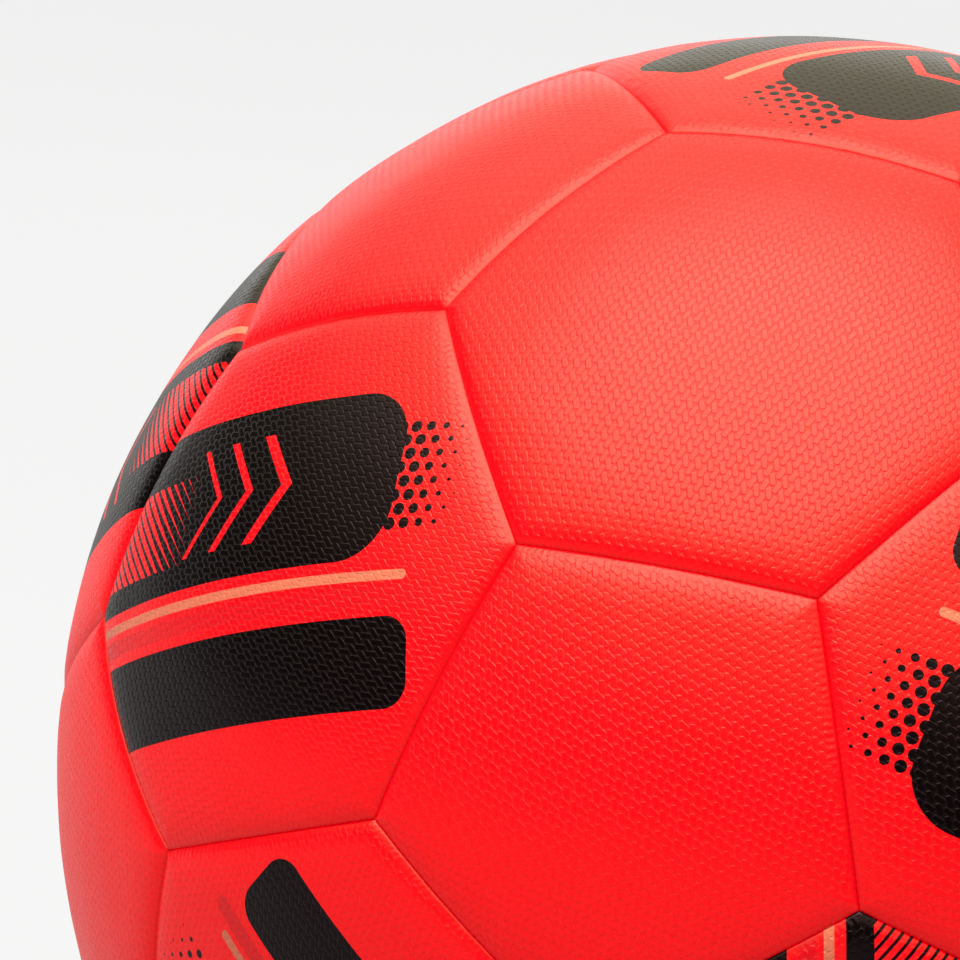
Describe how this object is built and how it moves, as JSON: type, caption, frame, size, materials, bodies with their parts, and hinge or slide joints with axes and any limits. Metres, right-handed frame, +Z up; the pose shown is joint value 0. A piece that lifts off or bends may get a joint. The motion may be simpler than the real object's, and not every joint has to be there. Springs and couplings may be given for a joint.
{
  "type": "soccer ball",
  "caption": "Sewn soccer ball with hexagon and pentagon cover panels over foam, lining and an air bladder with a self-sealing valve.",
  "frame": {"origin": "centre of the ball", "axes": "+Z up through the middle of the hexagon panel on top; +X towards the front; the valve lies in the XZ plane, on the -X side, 19.5 degrees above the horizontal"},
  "size_m": [0.22, 0.22, 0.22],
  "materials": {
    "cover": "satin embossed synthetic leather",
    "foam": "closed-cell foam",
    "lining": "woven polyester cotton",
    "thread": "waxed thread",
    "bladder": "smooth butyl rubber",
    "valve_rubber": "matte rubber",
    "plug_rubber": "matte rubber"
  },
  "bodies": {
    "ball": {"hex_panel_01": "cover", "hex_panel_02": "cover", "hex_panel_03": "cover", "hex_panel_04": "cover", "hex_panel_05": "cover", "hex_panel_06": "cover", "hex_panel_07": "cover", "hex_panel_08": "cover", "hex_panel_09": "cover", "hex_panel_10": "cover", "hex_panel_11": "cover", "hex_panel_12": "cover", "hex_panel_13": "cover", "hex_panel_14": "cover", "hex_panel_15": "cover", "hex_panel_16": "cover", "hex_panel_17": "cover", "hex_panel_18": "cover", "hex_panel_19": "cover", "hex_panel_20": "cover", "pent_panel_01": "cover", "pent_panel_02": "cover", "pent_panel_03": "cover", "pent_panel_04": "cover", "pent_panel_05": "cover", "pent_panel_06": "cover", "pent_panel_07": "cover", "pent_panel_08": "cover", "pent_panel_09": "cover", "pent_panel_10": "cover", "pent_panel_11": "cover", "pent_panel_12": "cover", "hex_foam_pads": "foam", "valve_foam_pad": "foam", "pent_foam_pads": "foam", "hex_linings": "lining", "valve_lining": "lining", "pent_linings": "lining", "hex_seam_threads": "thread", "pent_seam_threads": "thread", "valve_patch": "lining", "bladder": "bladder", "valve_housing": "valve_rubber", "balance_patch": "bladder"},
    "plug": {"valve_plug": "plug_rubber"}
  },
  "joints": [
    {"name": "plug_slide", "type": "slide", "parent": "ball", "child": "plug", "axis": [-0.9428, 0, 0.3333], "range_m": [0, 0.022]}
  ]
}
